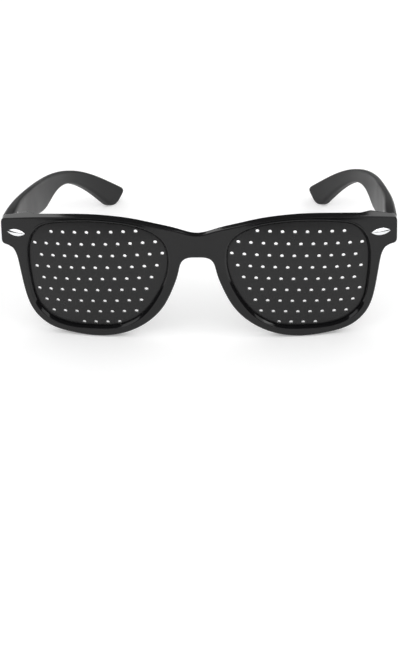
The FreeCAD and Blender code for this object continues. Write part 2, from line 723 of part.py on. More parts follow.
def build_pieces():
    """Every piece of the glasses under its own name."""
    pieces = {"front_frame": front_frame()}
    for side, sign in SIDES.items():
        pieces[side + "_pinhole_lens"] = pinhole_lens(side, sign)
        pieces[side + "_temple"] = temple(side, sign)
        pieces[side + "_front_hinge_leaf"] = hinge_leaf(side, sign, "front")
        pieces[side + "_temple_hinge_leaf"] = hinge_leaf(side, sign, "temple")
        pieces[side + "_hinge_screw"] = hinge_screw(side, sign)
        pieces[side + "_plaque"] = plaque(side, sign)
    return pieces


def check_document():
    """Stop if any object failed to rebuild."""
    for item in doc.Objects:
        if "Invalid" in item.State or "Error" in item.State:
            raise RuntimeError("object %s failed to rebuild: %s" % (item.Name, item.State))


pieces = build_pieces()
standing = standing_placement(pieces["front_frame"], pieces["right_temple"])
for name, piece in pieces.items():
    piece.Label = name
    piece.Placement = standing.multiply(piece.Placement)
doc.recompute()
check_document()
os.makedirs("parts", exist_ok=True)
for name, piece in pieces.items():
    shape = piece.Shape
    if shape.isNull() or not shape.isValid():
        raise RuntimeError("shape of %s is not usable" % name)
    shape.exportStep("parts/%s.step" % name)
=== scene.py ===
"""Pinhole glasses: glossy black front, perforated plates, folding temples, bright plaques.

Lens frame, in millimetres: X across the face, Y from the front towards the ears, Z up in the
lens plane, origin between the two hole patterns. The row frame stands the open glasses on
their rims and temple tips, in metres.
"""
import math

import bmesh
import bpy
import numpy as np
from mathutils import Matrix, Vector


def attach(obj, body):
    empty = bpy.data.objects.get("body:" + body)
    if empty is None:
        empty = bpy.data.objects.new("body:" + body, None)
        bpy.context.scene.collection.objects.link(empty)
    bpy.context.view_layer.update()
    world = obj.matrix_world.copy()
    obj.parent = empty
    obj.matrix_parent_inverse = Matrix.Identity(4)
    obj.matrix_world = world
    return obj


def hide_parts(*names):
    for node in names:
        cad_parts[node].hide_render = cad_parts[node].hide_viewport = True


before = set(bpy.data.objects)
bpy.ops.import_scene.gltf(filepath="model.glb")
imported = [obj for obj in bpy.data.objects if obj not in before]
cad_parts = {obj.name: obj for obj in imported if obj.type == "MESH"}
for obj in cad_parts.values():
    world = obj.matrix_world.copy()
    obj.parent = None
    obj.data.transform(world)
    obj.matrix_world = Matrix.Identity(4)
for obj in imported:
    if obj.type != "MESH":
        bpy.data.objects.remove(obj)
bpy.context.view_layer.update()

# Front
# One moulding of glossy black plastic: two rims, a narrow facet over the nose and solid end
# pieces. The front face follows two spheres that meet the bridge facet in soft creases.
# The glasses stand on their rims and temple tips, so the lens frame leans by the stand angle.
STAND_ANGLE = math.radians(-1.96460)
STAND_SHIFT = np.array([0.0, -66.430183, 28.420275])
SPHERE_X, SPHERE_Y, SPHERE_R = 27.008, 107.503, 108.0
OPEN_X, OPEN_Z, OPEN_HALF_X, OPEN_HALF_Z = 36.65, -3.28, 26.65, 21.78
HALF_FRONT, JOINT_Y, END_TOP, END_LOW = 72.6, 12.2, 16.207, 6.807
BRIDGE_TOP, BRIDGE_LOW, BRIDGE_HALF, BRIDGE_DEPTH, BRIDGE_CURVE = 12.5, 3.8, 10, 3.4, 164
RIM_WIDTH, BROW_WIDTH, RIM_PROUD, RIM_BACKING, BEVEL = 3.2, 1.2, 1.7, 2.4, 0.9
BROW_ROUND, RIM_ROUND, BACK_ROUND, CORNER_REACH = 0.45, 0.8, 0.4, 1.5
END_WEDGE_FOOT, END_STEP = 50.7, 0.9
REST_LENGTH, REST_DEPTH, REST_HALF_WIDTH, REST_FOOT = 15, 4.0, 2.3, 3.33
REST_LEAN = math.radians(17)
CREASE_BLEND, BRIDGE_BLEND, REST_BLEND = 0.03, 0.3, 0.5
FAR = 99
opening_shape = np.array([
    (0.13, 1.0), (0.50, 0.963), (0.794, 0.858), (0.944, 0.646), (1.0, 0.242),
    (0.974, -0.217), (0.891, -0.630), (0.689, -0.882), (0.388, -0.988), (0.069, -1.0),
    (-0.287, -0.960), (-0.602, -0.740), (-0.827, -0.377), (-0.962, -0.010), (-1.0, 0.311),
    (-0.951, 0.591), (-0.812, 0.775), (-0.550, 0.917), (-0.212, 0.986)])
rim_shape = np.array([
    (0.997, 0.151), (0.943, -0.269), (0.849, -0.629), (0.648, -0.866), (0.363, -0.962),
    (0.079, -0.998), (-0.240, -0.954), (-0.558, -0.777), (-0.799, -0.485), (-0.923, -0.189),
    (-0.997, 0.071)])
brow_shape = np.array([
    (0.096, 0.756), (0.193, 0.839), (0.303, 0.926), (0.427, 0.983), (0.551, 1.0),
    (0.689, 0.978), (0.840, 0.930)])


def to_row(points):
    """Turn points by the standing angle about X, shift them and change them to metres."""
    x, y, z = np.asarray(points, float).T
    c, s = math.cos(STAND_ANGLE), math.sin(STAND_ANGLE)
    return (np.column_stack([x, y * c - z * s, y * s + z * c]) + STAND_SHIFT) / 1000


def spline(points, count, closed=False):
    """Natural or periodic cubic spline through the points, at equal steps of its length.

    The knots stand at chord lengths, the second derivatives solve the usual tridiagonal
    system, and each span is the cubic given by its two ends and their second derivatives.
    """
    p = np.asarray(points, float)
    if closed:
        p = np.vstack([p, p[:1]])
    t = np.concatenate([[0], np.cumsum(np.linalg.norm(np.diff(p, axis=0), axis=1))])
    h = np.diff(t)
    n = len(t)
    a = np.zeros((n, n))
    b = np.zeros(p.shape)
    for k in range(1, n - 1):
        a[k, k - 1:k + 2] = h[k - 1], 2 * (h[k - 1] + h[k]), h[k]
        b[k] = 6 * ((p[k + 1] - p[k]) / h[k] - (p[k] - p[k - 1]) / h[k - 1])
    a[0, 0] = 1
    if closed:
        a[0, n - 1] = -1
        a[n - 1, [0, 1, n - 2, n - 1]] = 2 * h[0], h[0], h[-1], 2 * h[-1]
        b[n - 1] = 6 * ((p[1] - p[0]) / h[0] - (p[-1] - p[-2]) / h[-1])
    else:
        a[n - 1, n - 1] = 1
    m = np.linalg.solve(a, b)
    samples_per_knot = 60
    fine = np.linspace(0, t[-1], samples_per_knot * n)
    k = np.clip(np.searchsorted(t, fine, side="right") - 1, 0, n - 2)
    u, v, w = (t[k + 1] - fine)[:, None], (fine - t[k])[:, None], h[k][:, None]
    q = ((m[k] * u ** 3 + m[k + 1] * v ** 3) / (6 * w)
         + (p[k] / w - m[k] * w / 6) * u + (p[k + 1] / w - m[k + 1] * w / 6) * v)
    return even_steps(q, count, closed)


def even_steps(line, count, closed=False):
    """The polyline resampled to count points at equal steps of its length."""
    s = np.concatenate([[0], np.cumsum(np.linalg.norm(np.diff(line, axis=0), axis=1))])
    want = np.linspace(0, s[-1], count + 1)[:-1] if closed else np.linspace(0, s[-1], count)
    return np.column_stack([np.interp(want, s, line[:, c]) for c in range(line.shape[1])])


def grid_faces(rows, columns, closed, first=0):
    """Quads of a grid of points stored row by row."""
    last = columns if closed else columns - 1
    r, c = np.meshgrid(np.arange(rows - 1), np.arange(last), indexing="ij")
    r, c = r.ravel(), c.ravel()
    n = (c + 1) % columns
    return first + np.column_stack([r * columns + c, r * columns + n,
                                    (r + 1) * columns + n, (r + 1) * columns + c])


def make_piece(name, grids, material, mirror_too=False):
    """Object from grids of (points, rows, columns, closed) in the lens frame.

    Grids are stacked, mirrored about X = 0 where asked, moved to the row frame and welded
    within the weld distance in millimetres.
    """
    weld = 0.002
    verts, faces, first = [], [], 0
    for points, rows, columns, closed in grids:
        verts.append(np.asarray(points, float))
        faces.append(grid_faces(rows, columns, closed, first))
        first += len(points)
    verts, faces = np.vstack(verts), np.vstack(faces)
    if mirror_too:
        faces = np.vstack([faces, faces[:, ::-1] + len(verts)])
        verts = np.vstack([verts, verts * [-1, 1, 1]])
    mesh = bpy.data.meshes.new(name)
    mesh.from_pydata(to_row(verts).tolist(), [], faces.tolist())
    work = bmesh.new()
    work.from_mesh(mesh)
    bmesh.ops.remove_doubles(work, verts=work.verts, dist=weld / 1000)
    bmesh.ops.dissolve_degenerate(work, edges=work.edges, dist=weld / 1000)
    bmesh.ops.holes_fill(work, edges=work.edges, sides=0)
    bmesh.ops.recalc_face_normals(work, faces=work.faces)
    for face in work.faces:
        face.smooth = True
    work.to_mesh(mesh)
    work.free()
    mesh.materials.append(material)
    item = bpy.data.objects.new(name, mesh)
    bpy.context.scene.collection.objects.link(item)
    return item


def plastic(name, colour, roughness, grain, grain_size):
    """Black plastic: base colour with faint cloudy variation, grain as bump and roughness."""
    cloud_scale, grain_depth, plastic_ior = 90, 0.00005, 1.4
    material = bpy.data.materials.new(name)
    material.use_nodes = True
    tree = material.node_tree
    shader = tree.nodes["Principled BSDF"]
    place = tree.nodes.new("ShaderNodeTexCoord")
    cloud = tree.nodes.new("ShaderNodeTexNoise")
    cloud.inputs["Scale"].default_value = cloud_scale
    cloud.inputs["Detail"].default_value = 4
    tree.links.new(place.outputs["Object"], cloud.inputs["Vector"])
    tone = tree.nodes.new("ShaderNodeMix")
    tone.data_type = "RGBA"
    tone.inputs[6].default_value = (*[0.8 * value for value in colour], 1)
    tone.inputs[7].default_value = (*[1.2 * value for value in colour], 1)
    tree.links.new(cloud.outputs["Fac"], tone.inputs[0])
    tree.links.new(tone.outputs[2], shader.inputs["Base Color"])
    spread = tree.nodes.new("ShaderNodeMapRange")
    spread.inputs["To Min"].default_value = roughness * 0.85
    spread.inputs["To Max"].default_value = roughness * 1.15
    tree.links.new(cloud.outputs["Fac"], spread.inputs["Value"])
    tree.links.new(spread.outputs["Result"], shader.inputs["Roughness"])
    fine = tree.nodes.new("ShaderNodeTexNoise")
    fine.inputs["Scale"].default_value = 1 / grain_size
    fine.inputs["Detail"].default_value = 3
    tree.links.new(place.outputs["Object"], fine.inputs["Vector"])
    bump = tree.nodes.new("ShaderNodeBump")
    bump.inputs["Strength"].default_value = grain
    bump.inputs["Distance"].default_value = grain_depth
    tree.links.new(fine.outputs["Fac"], bump.inputs["Height"])
    tree.links.new(bump.outputs["Normal"], shader.inputs["Normal"])
    shader.inputs["IOR"].default_value = plastic_ior
    return material


def sphere_depth(x, z, radius):
    """Depth of a sphere's near side.

    It is the centre's depth less the root of the radius squared less both offsets squared.
    """
    return SPHERE_Y - np.sqrt(radius ** 2 - (np.abs(x) - SPHERE_X) ** 2 - z ** 2)


def soft_min(a, b, width):
    """Smaller of two values, rounded where they cross.

    It is their mean less half the root of their difference squared plus the width squared.
    """
    return (a + b - np.sqrt((a - b) ** 2 + width ** 2)) / 2


facet_depth = sphere_depth(BRIDGE_HALF / 2, BRIDGE_TOP / 3, SPHERE_R + RIM_PROUD)


def facet(z):
    """Depth of the bridge facet: a circle of the bridge curve in height, level across."""
    return facet_depth + BRIDGE_CURVE - np.sqrt(BRIDGE_CURVE ** 2 - z ** 2)


def front_depth(x, z):
    """Depth of the front face: the foremost of the sphere and, over the nose, the facet."""
    return soft_min(sphere_depth(x, z, SPHERE_R + RIM_PROUD),
                    np.where(np.abs(x) < BRIDGE_HALF, facet(z), FAR), CREASE_BLEND)


def back_depth(x, z):
    """Depth of the back: the rearmost of rim, end piece and nose rest.

    The rim is a smaller sphere or the facet plus the bridge depth. The end piece is a ramp in
    X that stops at the joint plane. The nose rest is a leaning half ellipse across, scaled by
    a share that is one in its middle and falls to nothing at both ends.
    """
    x = np.abs(x)
    rim = soft_min(sphere_depth(x, z, SPHERE_R - RIM_BACKING),
                   np.where(x < BRIDGE_HALF + RIM_WIDTH, facet(z) + BRIDGE_DEPTH, FAR),
                   BRIDGE_BLEND)
    wedge = np.minimum(x - END_WEDGE_FOOT, JOINT_Y)
    rise = np.clip((z - END_LOW + END_STEP) / END_STEP, 0, 1)
    rise = rise * rise * (3 - 2 * rise)
    block = rim + np.maximum(wedge - rim, 0) * rise
    cosine, sine = math.cos(REST_LEAN), math.sin(REST_LEAN)
    along = ((z - OPEN_Z) * cosine - (x - BRIDGE_HALF) * sine) / REST_LENGTH
    across = (x - BRIDGE_HALF) * cosine + (z - OPEN_Z) * sine
    share = np.interp(along, [-0.56, -0.5, -0.4, -0.3, -0.15, 0, 0.15, 0.3, 0.4, 0.5, 0.56],
                      [0, 0.22, 0.52, 0.76, 0.95, 1, 0.95, 0.76, 0.52, 0.22, 0])
    least_width = 0.01
    dome = 1 - (across / np.maximum(REST_HALF_WIDTH * share, least_width)) ** 2
    outside = np.where(dome > 0, 0, 9)
    rest = REST_FOOT + REST_DEPTH * share * np.sqrt(np.maximum(dome, 0)) - outside
    return -soft_min(-block, -rest, REST_BLEND)


OPENING_STEPS, BEND_STEPS = 800, 24


def opening_loop(growth, shares):
    """Points of the eye opening, grown by a distance, at shares of its length."""
    line = spline(opening_shape * [OPEN_HALF_X + growth, OPEN_HALF_Z + growth]
                  + [OPEN_X, OPEN_Z], OPENING_STEPS, closed=True)
    line = np.vstack([line, line[:1]])
    at = np.linspace(0, 1, len(line))
    return np.column_stack([np.interp(shares % 1, at, line[:, c]) for c in range(2)])


def cut_corner(first, second, reach):
    """Two dense lines that meet in a corner, joined by a quadratic curve of that reach."""
    corner = first[-1]
    keep_a = first[np.linalg.norm(first - corner, axis=1) > reach]
    keep_b = second[np.linalg.norm(second - corner, axis=1) > reach]
    t = np.linspace(0, 1, BEND_STEPS)[:, None]
    bend = ((1 - t) ** 2 * keep_a[-1] + 2 * t * (1 - t) * corner + t ** 2 * keep_b[0])
    return np.vstack([keep_a, bend[1:-1], keep_b])


BROW_STEPS, LOWER_STEPS, SIDE_STEPS = 800, 1600, 200
brow = brow_shape * [HALF_FRONT, OPEN_HALF_Z + BROW_WIDTH] + [0, OPEN_Z]
brow = np.vstack([brow, [HALF_FRONT, END_TOP]])
brow = np.vstack([brow[::-1] * [-1, 1], [0, BRIDGE_TOP], brow])
brow = spline(brow, 2 * BROW_STEPS + 1)[BROW_STEPS:]
rim = rim_shape * [OPEN_HALF_X + RIM_WIDTH, OPEN_HALF_Z + RIM_WIDTH] + [OPEN_X, OPEN_Z]
turn = np.array([(HALF_FRONT, END_LOW), (71.15, END_LOW - 0.26), (68.85, END_LOW - 0.8),
                 (67.41, END_LOW - 2.59)])
under = np.array([(5.2, BRIDGE_LOW - 1.1), (2.8, BRIDGE_LOW - 0.1)])
lower = np.vstack([turn, rim, under])
lower = np.vstack([lower, [0, BRIDGE_LOW], lower[::-1] * [-1, 1]])
lower = spline(lower, 2 * LOWER_STEPS + 1)[:LOWER_STEPS + 1]
side = np.column_stack([np.full(SIDE_STEPS, HALF_FRONT),
                        np.linspace(END_TOP, END_LOW, SIDE_STEPS)])
outline = cut_corner(cut_corner(brow, side, CORNER_REACH), lower, CORNER_REACH)
ARC, MIDDLE = 470, 14
outline = even_steps(outline, ARC)
outline[0, 0] = outline[-1, 0] = 0
along = np.gradient(outline, axis=0)
inward = np.column_stack([along[:, 1], -along[:, 0]])
inward /= np.linalg.norm(inward, axis=1)[:, None]
inward[0], inward[-1] = (0, -1), (0, 1)
# The rounding of the front edge is fine along the brow and fuller from the end piece down.
END_PIECE_X, TURN_BEFORE, TURN_AFTER = 60, 10, 20
turn_index = int(np.argmax((outline[:, 0] > END_PIECE_X) & (outline[:, 1] < END_LOW)))
edge_round = np.interp(np.arange(ARC), [turn_index - TURN_BEFORE, turn_index + TURN_AFTER],
                       [BROW_ROUND, RIM_ROUND])


def outer_loop(inset):
    """Outline moved inward, closed along the middle of the nose."""
    arc = outline + inward * inset
    middle = np.linspace(arc[-1], arc[0], MIDDLE + 2)[1:-1]
    return np.vstack([arc, middle])


closed_outline = outer_loop(edge_round[:, None])
lengths = np.concatenate([[0], np.cumsum(np.linalg.norm(
    np.diff(np.vstack([closed_outline, closed_outline[:1]]), axis=0), axis=1))])[:-1]


def nearest(place):
    """Index of the outline point nearest to a place."""
    return int(np.argmin(np.linalg.norm(closed_outline - place, axis=1)))


# Places on the outer outline, each with the place on the eye opening that faces it
pairs = [((36.65, 30), (36.65, 30)), ((72.0, 15.5), (61.5, 12.0)), ((72.0, 7.4), (63.2, 4.0)),
         ((66.4, 0.5), (63.3, -1.5)), ((61.5, -19.0), (60.4, -17.0)),
         ((36.65, -30), (36.65, -30)), ((12.8, -15.4), (16.0, -13.0)), ((6.9, -1.5), (10.6, -1.5)),
         ((0, 5.0), (10.0, 5.0)), ((0, 11.0), (11.6, 10.5)), ((14.0, 15.9), (16.0, 14.5))]
SEARCH_STEPS = 2000
dense = opening_loop(0.0, np.linspace(0, 1, SEARCH_STEPS + 1)[:-1])
share_at = []
for outer_place, inner_place in pairs:
    inner = np.argmin(np.linalg.norm(dense - inner_place, axis=1)) / SEARCH_STEPS
    share_at.append((lengths[nearest(outer_place)], inner))
share_at.sort()
length_keys = np.array([pair[0] for pair in share_at])
share_keys = np.unwrap(np.array([pair[1] for pair in share_at]), period=1.0)
total = lengths[-1] + np.linalg.norm(closed_outline[-1] - closed_outline[0])
step = np.sign(share_keys[-1] - share_keys[0])
length_keys = np.concatenate([length_keys[-1:] - total, length_keys, length_keys[:1] + total])
share_keys = np.concatenate([share_keys[-1:] - step, share_keys, share_keys[:1] + step])
shares = np.interp(lengths, length_keys, share_keys)

columns = ARC + MIDDLE
grids = []


def face_grid(inner, outer, rows, depth):
    """Ruled grid between two loops seen from the front, lifted to a depth function."""
    t = np.linspace(0, 1, rows)[:, None, None]
    flat = (inner * (1 - t) + outer * t).reshape(-1, 2)
    return np.column_stack([flat[:, 0], depth(flat[:, 0], flat[:, 1]), flat[:, 1]])


FRONT_ROWS, BACK_ROWS = 24, 40
BEVEL_BLEND, BACK_LIP = 0.22, 0.6
front_inner = opening_loop(BEVEL_BLEND, shares)
grids.append((face_grid(front_inner, closed_outline, FRONT_ROWS, front_depth),
              FRONT_ROWS, columns, True))
back_inner = opening_loop(-BACK_LIP, shares)
grids.append((face_grid(back_inner, outer_loop(BACK_ROUND), BACK_ROWS, back_depth),
              BACK_ROWS, columns, True))
edge = opening_loop(0.0, shares)
edge_front = front_depth(edge[:, 0], edge[:, 1])
# Steps down the bevel and the wall of the opening: growth of the opening and depth
bevel = [(BEVEL_BLEND, 0.0), (0.1, 0.01), (-0.02, 0.055), (-0.14, 0.15), (-0.3, 0.3), (-0.5, 0.5),
         (-0.76, 0.76), (-0.85, 0.86), (-0.89, 0.97), (-BEVEL, 1.1), (-BEVEL, RIM_PROUD)]
rows = []
for growth, drop in bevel:
    loop = opening_loop(growth, shares)
    depth = front_depth(loop[:, 0], loop[:, 1]) if drop == 0.0 else edge_front + drop
    rows.append(np.column_stack([loop[:, 0], depth, loop[:, 1]]))
for growth, drop in ((-BEVEL, 0.3), (-0.87, 0.15), (-0.78, 0.04), (-BACK_LIP, 0.0)):
    loop = opening_loop(growth, shares)
    depth = back_depth(loop[:, 0], loop[:, 1]) - drop
    rows.append(np.column_stack([loop[:, 0], depth, loop[:, 1]]))
grids.append((np.vstack(rows), len(rows), columns, True))
rows = []
base = outline + inward * edge_round[:, None]
base_front = front_depth(base[:, 0], base[:, 1])
for angle in np.linspace(0, math.pi / 2, 9):
    arc = outline + inward * edge_round[:, None] * (1 - math.sin(angle))
    depth = base_front + edge_round * (1 - math.cos(angle))
    rows.append(np.column_stack([arc[:, 0], depth, arc[:, 1]]))
base = outline + inward * BACK_ROUND
base_back = back_depth(base[:, 0], base[:, 1])
for share in (0.15, 0.5, 0.85):
    depth = (base_front + edge_round) * (1 - share) + (base_back - BACK_ROUND) * share
    rows.append(np.column_stack([outline[:, 0], depth, outline[:, 1]]))
for angle in np.linspace(0, math.pi / 2, 6):
    arc = outline + inward * BACK_ROUND * (1 - math.cos(angle))
    depth = base_back - BACK_ROUND * (1 - math.sin(angle))
    rows.append(np.column_stack([arc[:, 0], depth, arc[:, 1]]))
grids.append((np.vstack(rows), len(rows), ARC, False))
frame_black = plastic("frame_black", (0.006, 0.006, 0.0065), 0.09, 0.05, 0.0008)
front_visual = make_piece("front_visual", grids, frame_black, mirror_too=True)
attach(front_visual, "front")
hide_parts("front_frame")

# Temples
# Flat satin black arms of moulded plastic, thick at the hinge and thin behind it, with rounded
# long edges. They narrow over the ear, bend down and bow inward to a broad rounded tip, and
# turn on the hinge screws.
TILT = math.radians(10.9)
TEMPLE_RISE, JOINT_GAP, JOINT_EASE, JOINT_ZONE = 2.8, 0.3, 0.3, 2.5
THICKNESS, HINGE_THICKNESS, TAPER_START, TAPER_LENGTH = 3.2, 4.3, 0.04, 0.24
TIP_HEIGHT, TIP_TOP_REACH, TIP_LOW_REACH, TIP_SPLIT_PERCENT = 10.0, 2.6, 5.1, 38
TIP_CLEAR, EDGE_STEPS, PLAN_STEPS, ARM_STEPS = 1.0, 1200, 1500, 300
TEMPLE_START = JOINT_Y * math.cos(TILT) - END_TOP * math.sin(TILT)
TEMPLE_TOP = JOINT_Y * math.sin(TILT) + END_TOP * math.cos(TILT) + TEMPLE_RISE
LENGTH, DROP, BOW, EDGE_ROUND = 128.1, 14.1, 28.5, 1.1
top_shape = np.array([
    (-0.04, 0.25), (0.0, 0.193), (0.203, 0.053), (0.415, 0.0), (0.556, 0.005), (0.673, 0.013),
    (0.775, 0.102), (0.869, 0.369), (1.0, 1.0)])
bottom_shape = np.array([
    (0.806, 0.150, 6.64), (0.728, 0.05, 5.5), (0.634, 0.01, 8.03), (0.540, 0.0, 12.02),
    (0.415, 0.0, 12.26), (0.203, 0.053, 10.68), (0.0, 0.193, 9.32), (-0.04, 0.25, 8.76)])
bow_shape = np.array([
    (-0.04, 0.0), (0.0, 0.0), (0.203, 0.007), (0.415, 0.064), (0.556, 0.113), (0.673, 0.213),
    (0.775, 0.381), (0.869, 0.604), (1.0, 1.0), (1.06, 1.21)])

top_line = spline(np.column_stack([TEMPLE_START + top_shape[:, 0] * LENGTH,
                                   TEMPLE_TOP - top_shape[:, 1] * DROP]), EDGE_STEPS)
tip_slope = math.radians(35)
tip_low = top_line[-1] - TIP_HEIGHT * np.array([math.sin(tip_slope), math.cos(tip_slope)])
bottom_line = np.vstack([tip_low, np.column_stack([
    TEMPLE_START + bottom_shape[:, 0] * LENGTH,
    TEMPLE_TOP - bottom_shape[:, 1] * DROP - bottom_shape[:, 2]])])
bottom_line = spline(bottom_line, EDGE_STEPS)[::-1]
tip_line = np.linspace(top_line[-1], tip_low, ARM_STEPS)


def cut_at_joint(line):
    """Part of a side view line behind the joint plane."""
    depth = line[:, 0] * math.cos(TILT) + line[:, 1] * math.sin(TILT)
    return line[depth >= JOINT_Y + JOINT_GAP]


top_line, bottom_line = cut_at_joint(top_line), cut_at_joint(bottom_line)
# The upper and lower edges meet on the tip, with a short open stretch between them.
split = len(tip_line) * TIP_SPLIT_PERCENT // 100
over = cut_corner(top_line, tip_line[:split + 1], TIP_TOP_REACH)
beneath = cut_corner(bottom_line, tip_line[split:][::-1], TIP_LOW_REACH)
over = over[np.linalg.norm(over - tip_line[split], axis=1) > TIP_CLEAR]
over = even_steps(over, ARM_STEPS)
beneath = beneath[np.linalg.norm(beneath - tip_line[split], axis=1) > TIP_CLEAR]
beneath = even_steps(beneath, ARM_STEPS)

outer_line = spline(np.column_stack([TEMPLE_START + bow_shape[:, 0] * LENGTH,
                                     HALF_FRONT - bow_shape[:, 1] * BOW]), PLAN_STEPS)
slope_along = np.gradient(outer_line[:, 1]) / np.gradient(outer_line[:, 0])


def outer_x(y):
    """Outer face seen from above."""
    return np.interp(y, outer_line[:, 0], outer_line[:, 1])


def inner_x(y):
    """Inner face seen from above: a smooth step from the hinge thickness to the plain one.

    The plain face lies one thickness inside the outer one, measured square to it.
    """
    slope = np.interp(y, outer_line[:, 0], slope_along)
    plain = outer_x(y) - THICKNESS * np.sqrt(1 + slope ** 2)
    t = np.clip((y - TEMPLE_START - TAPER_START * LENGTH) / (TAPER_LENGTH * LENGTH), 0, 1)
    hinge_face = HALF_FRONT - HINGE_THICKNESS
    return hinge_face * (1 - t * t * (3 - 2 * t)) + plain * t * t * (3 - 2 * t)


RUNGS = 13


def temple_loop(inset):
    """Closed side view outline moved inward along its normals, but not past the joint plane.

    It runs along the top edge, the tip, the bottom edge and the joint end.
    """
    end = np.linspace(over[-1], beneath[-1], RUNGS + 2)[1:-1]
    start = np.linspace(beneath[0], over[0], RUNGS + 2)[1:-1]
    loop = np.vstack([over, end, beneath[::-1], start])
    step = np.roll(loop, -1, axis=0) - np.roll(loop, 1, axis=0)
    normal = np.column_stack([step[:, 1], -step[:, 0]])
    normal /= np.linalg.norm(normal, axis=1)[:, None]
    moved = loop + normal * inset
    last = len(over) + RUNGS + len(beneath) - 1
    moved[0], moved[last] = moved[1], moved[last - 1]
    depth = moved[:, 0] * math.cos(TILT) + moved[:, 1] * math.sin(TILT)
    short = np.maximum(JOINT_Y + JOINT_GAP + JOINT_EASE * inset - depth, 0)
    near = depth < JOINT_Y + JOINT_ZONE
    moved[:, 0] += np.where(near, short, 0) / math.cos(TILT)
    return moved


def temple_points(flat, half_share, side):
    """Side view points lifted to one face and tilted into the lens frame."""
    y, z = flat[:, 0], flat[:, 1]
    middle = (outer_x(y) + inner_x(y)) / 2
    x = middle + side * half_share * (outer_x(y) - inner_x(y)) / 2
    c, s = math.cos(TILT), math.sin(TILT)
    return np.column_stack([x, y * c + z * s, -y * s + z * c])


def temple_grids():
    """Rounded rim of both faces and the ladder of straight rungs that fills each face.

    The rim is a quarter circle at each face: the outline moves inward by one less the cosine
    of the angle, and the face falls back by one less its sine.
    """
    grids = []
    angles = np.linspace(0, math.pi / 2, 9)
    rows = []
    for side in (1, -1):
        for angle in (angles[::-1] if side > 0 else angles):
            flat = temple_loop(EDGE_ROUND * (1 - math.cos(angle)))
            thick = outer_x(flat[:, 0]) - inner_x(flat[:, 0])
            share = 1 - 2 * EDGE_ROUND * (1 - math.sin(angle)) / thick
            rows.append(temple_points(flat, share, side))
    grids.append((np.vstack(rows), len(rows), len(rows[0]), True))
    inner = temple_loop(EDGE_ROUND)
    n = len(over)
    top_chain = inner[:n]
    low_chain = inner[n + RUNGS:2 * n + RUNGS][::-1]
    t = np.linspace(0, 1, RUNGS + 2)[:, None, None]
    ladder = (top_chain * (1 - t) + low_chain * t)
    ladder[1:-1, -1] = inner[n:n + RUNGS]
    ladder[1:-1, 0] = inner[2 * n + RUNGS:][::-1]
    flat = ladder.reshape(-1, 2)
    for side in (1, -1):
        grids.append((temple_points(flat, 1.0, side), RUNGS + 2, n, False))
    return grids


temple_black = plastic("temple_black", (0.008, 0.008, 0.0085), 0.42, 0.12, 0.0005)
for side_name, sign in (("right", 1), ("left", -1)):
    grids = [(points * [sign, 1, 1], rows, cols, closed)
             for points, rows, cols, closed in temple_grids()]
    arm = make_piece(side_name + "_temple_visual", grids, temple_black)
    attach(arm, side_name + "_arm")
    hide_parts(side_name + "_temple")

# Plates
# Thin satin black plates of moulded plastic with staggered pinholes, bent to the same sphere
# as the rims and held in a groove behind their bevel.
plate_black = plastic("plate_black", (0.012, 0.012, 0.0125), 0.26, 0.3, 0.00025)
for side_name in ("left", "right"):
    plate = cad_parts[side_name + "_pinhole_lens"]
    plate.data.materials.clear()
    plate.data.materials.append(plate_black)

# Hinges
# Nickel plated leaves and slotted steel screws, mostly hidden between end piece and temple.
# The front leaf is set in the end piece, the other one is let into the temple.


def metal(name, colour, roughness):
    """Bare metal with fine scratches as bump."""
    material = plastic(name, colour, roughness, 0.15, 0.0003)
    material.node_tree.nodes["Principled BSDF"].inputs["Metallic"].default_value = 1
    return material


hinge_metal = metal("hinge_nickel", (0.55, 0.54, 0.52), 0.3)
screw_metal = metal("screw_steel", (0.62, 0.61, 0.6), 0.22)
for side_name in ("left", "right"):
    for node, finish in (("_front_hinge_leaf", hinge_metal), ("_temple_hinge_leaf", hinge_metal),
                         ("_hinge_screw", screw_metal)):
        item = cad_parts[side_name + node]
        item.data.materials.clear()
        item.data.materials.append(finish)

# Plaques
# Bright almond plaques of polished metal, set into the end pieces and held by a stud. Two
# facets fall from a soft ridge along the middle.
PLAQUE_HALF, PLAQUE_RISE, PLAQUE_INSET, PLAQUE_Z = 3.8, 1.4, 5.9, 11.8
RIDGE_HEIGHT, RIM_SINK, FOOT_SINK, RIDGE_POWER = 0.6, 0.08, 0.25, 1.25
plaque_chrome = metal("plaque_chrome", (0.85, 0.86, 0.87), 0.08)


def plaque_grid(sign):
    """Almond between two arcs, standing square to the front.

    Half its height at a share along is the arc's reach there. It stands proud by the ridge
    height times the reach, times one less the share across to the ridge power.
    """
    rows, cols = 33, 61
    v, u = np.meshgrid(np.linspace(-1, 1, rows), np.linspace(-1, 1, cols), indexing="ij")
    half, rise = PLAQUE_HALF, PLAQUE_RISE
    radius = (half ** 2 + rise ** 2) / (2 * rise)
    reach = np.sqrt(radius ** 2 - (u * half) ** 2) - (radius - rise)
    up = v * reach
    proud = -RIM_SINK + RIDGE_HEIGHT * (1 - np.abs(v) ** RIDGE_POWER) * reach / rise
    x0, z0 = HALF_FRONT - PLAQUE_INSET, PLAQUE_Z
    y0 = sphere_depth(x0, z0, SPHERE_R + RIM_PROUD)
    outward = np.array([x0 - SPHERE_X, y0 - SPHERE_Y, z0])
    outward /= np.linalg.norm(outward)
    lying = np.cross(outward, [0, 0, 1])
    lying /= np.linalg.norm(lying)
    upward = np.cross(lying, outward)
    grids = []
    for lift in (proud, np.full_like(proud, -FOOT_SINK)):
        points = (np.array([x0, y0, z0]) + (u * half)[..., None] * lying
                  + up[..., None] * upward + lift[..., None] * outward)
        grids.append((points.reshape(-1, 3) * [sign, 1, 1], rows, cols, False))
    return grids, rows, cols


